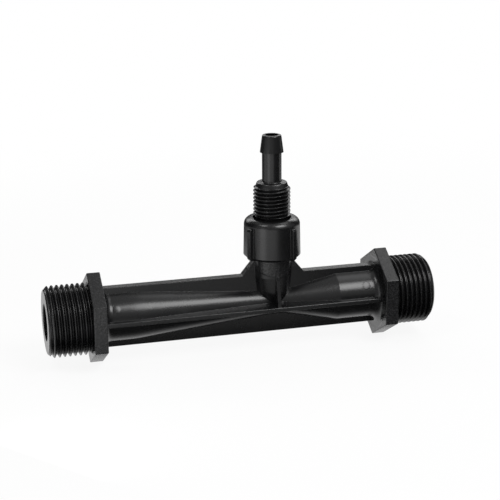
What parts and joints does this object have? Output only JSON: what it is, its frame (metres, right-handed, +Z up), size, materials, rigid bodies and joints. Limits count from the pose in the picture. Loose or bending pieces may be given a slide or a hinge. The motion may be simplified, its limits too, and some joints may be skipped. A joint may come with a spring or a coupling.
{
  "type": "venturi fertilizer injector",
  "caption": "Inline venturi injector: a cross-ribbed tube with male pipe threads at both ends and a suction port with a check valve, a union nut and a hose barb.",
  "frame": {"origin": "on the flow axis, at the centre of the inlet collar's outer face, where the inlet pipe thread starts", "axes": "+X along the flow axis and out of the inlet, so water flows towards -X; +Z up the suction port; the ribs lie in the XZ and XY planes"},
  "size_m": [0.14, 0.0286, 0.0776],
  "materials": {
    "body_plastic": "black moulded polypropylene, satin",
    "nut_plastic": "black moulded polypropylene, satin",
    "nipple_plastic": "black moulded polypropylene, satin",
    "washer_rubber": "matte black rubber",
    "ball_plastic": "polished off-white acetal",
    "spring_steel": "drawn stainless wire"
  },
  "bodies": {
    "housing": {"injector_body": "body_plastic", "seat_washer": "washer_rubber", "check_spring": "spring_steel"},
    "nipple": {"hose_nipple": "nipple_plastic"},
    "nut": {"union_nut": "nut_plastic"},
    "ball": {"check_ball": "ball_plastic"}
  },
  "joints": [
    {"name": "nipple_lift", "type": "slide", "parent": "housing", "child": "nipple", "axis": [0, 0, 1], "range_m": [0, 0.00668]},
    {"name": "nut_turn", "type": "hinge", "parent": "nipple", "child": "nut", "pos_m": [-0.0433, 0, 0.0242], "axis": [0, 0, 1], "range_deg": [0, 1800]},
    {"name": "ball_drop", "type": "slide", "parent": "housing", "child": "ball", "axis": [0, 0, -1], "range_m": [0, 0.002], "stiffness_N_per_m": 12, "springref_m": -0.0005, "deforming": ["check_spring"]}
  ],
  "couplings": [
    {"joint": "nipple_lift", "follows": "nut_turn", "m_per_rad": 0.00021279}
  ]
}
